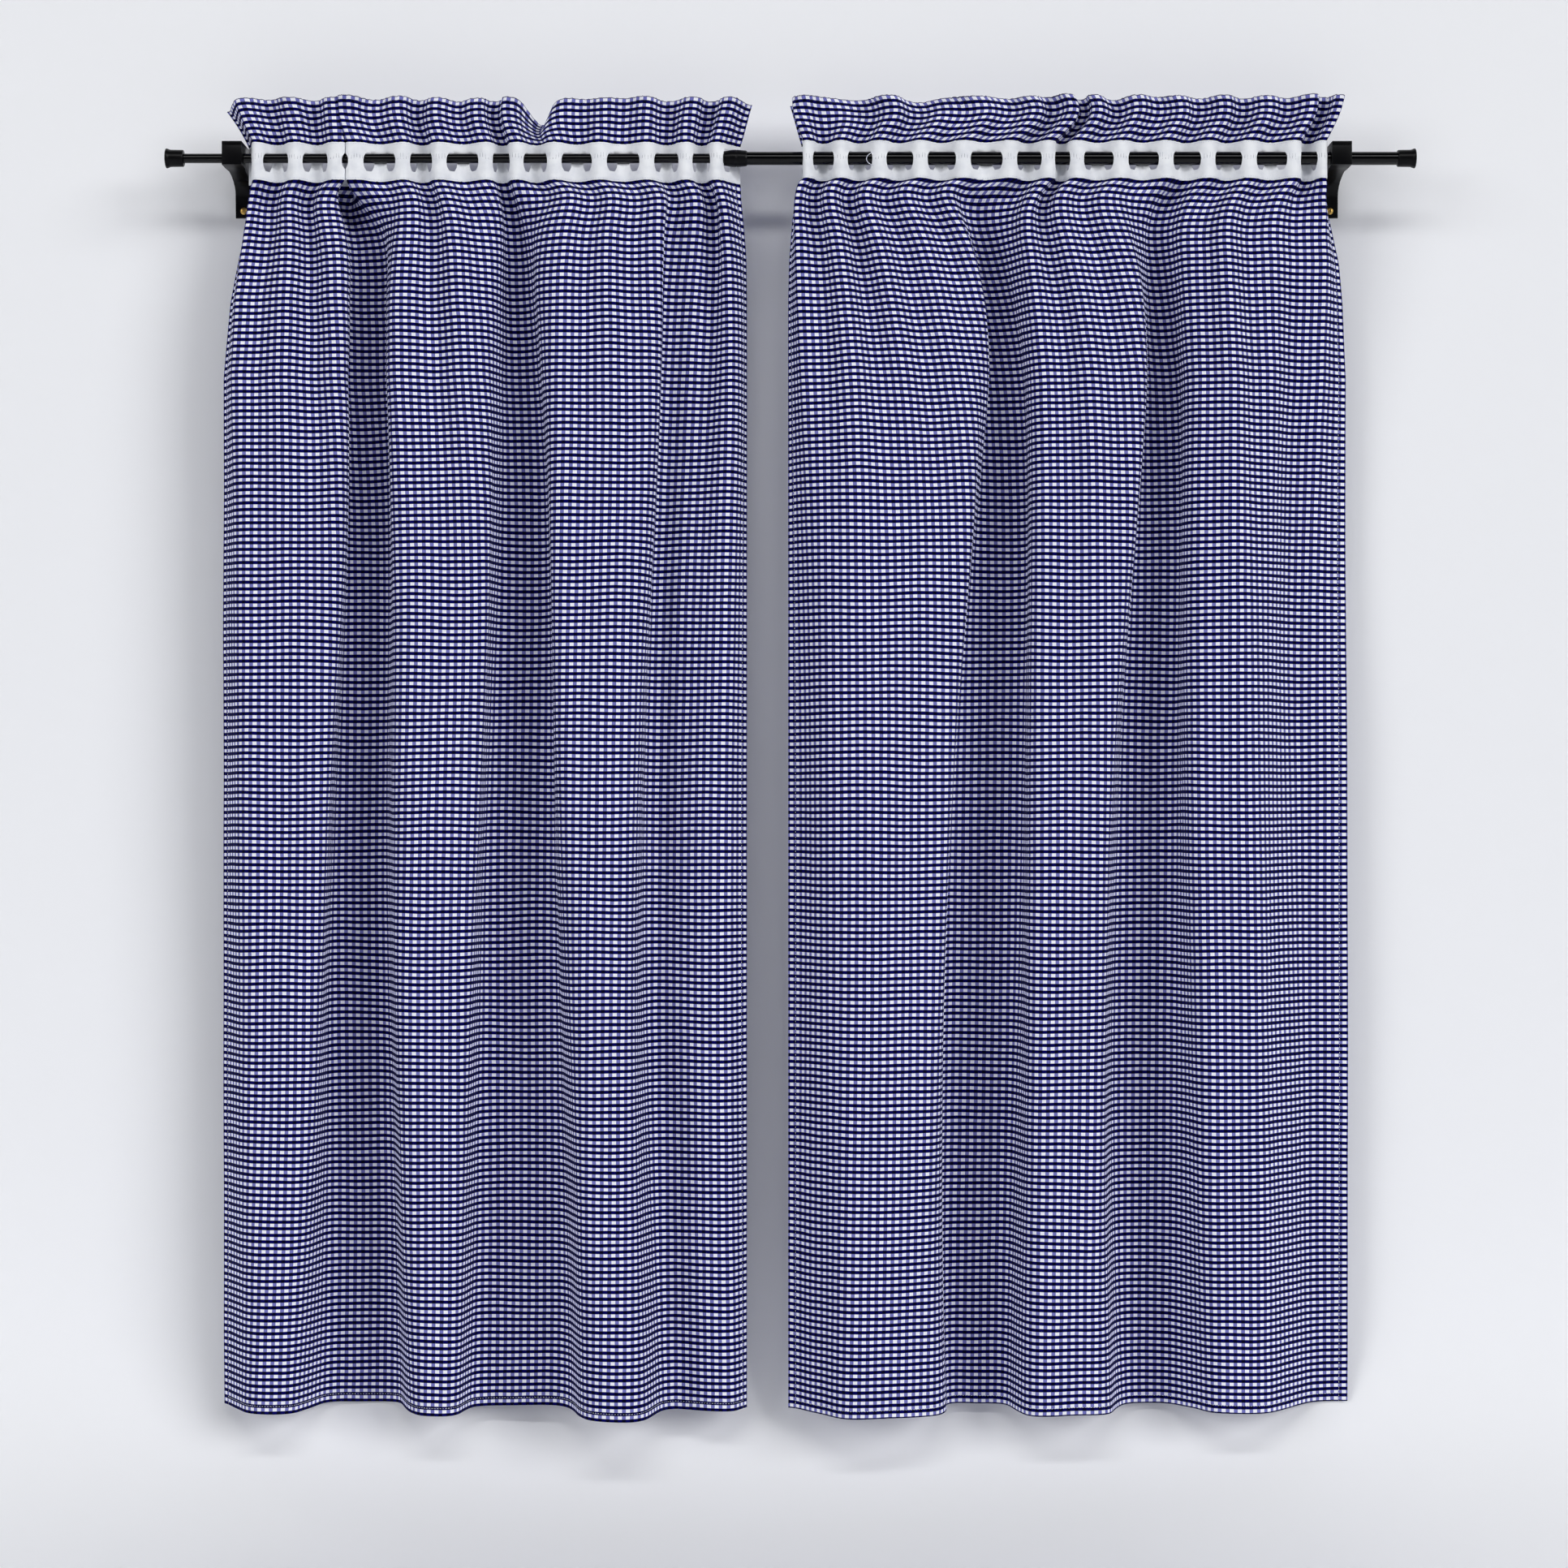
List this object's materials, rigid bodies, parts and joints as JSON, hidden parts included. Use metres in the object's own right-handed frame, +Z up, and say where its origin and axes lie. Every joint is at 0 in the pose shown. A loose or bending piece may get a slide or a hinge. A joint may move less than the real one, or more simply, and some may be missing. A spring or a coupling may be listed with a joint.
{
  "type": "pair of gingham cafe curtains on an extending rod with wall brackets",
  "caption": "Pair of check cafe curtains with frilled loop-tape headings, hung on a black extending rod held by two wall brackets.",
  "frame": {"origin": "on the wall, midway between the two brackets, level with the rod's axis", "axes": "+X to the right as one faces the wall, +Y into the wall so that the room is at -Y, +Z up"},
  "size_m": [1.524, 0.1476, 1.6011],
  "materials": {
    "gingham_cloth": "matt woven cotton check, navy and white",
    "loop_tape": "matt woven white tape",
    "rod_enamel": "gloss black enamel",
    "black_plastic": "satin black moulding",
    "screw_brass": "satin"
  },
  "bodies": {
    "root": {"left_panel": "gingham_cloth", "left_tape": "loop_tape", "left_frill": "gingham_cloth", "right_panel": "gingham_cloth", "right_tape": "loop_tape", "right_frill": "gingham_cloth", "rod_inner": "rod_enamel", "rod_outer": "rod_enamel", "rod_collar": "black_plastic", "left_end_cap": "black_plastic", "right_end_cap": "black_plastic", "left_bracket": "black_plastic", "right_bracket": "black_plastic", "left_screw": "screw_brass", "right_screw": "screw_brass"}
  },
  "joints": []
}
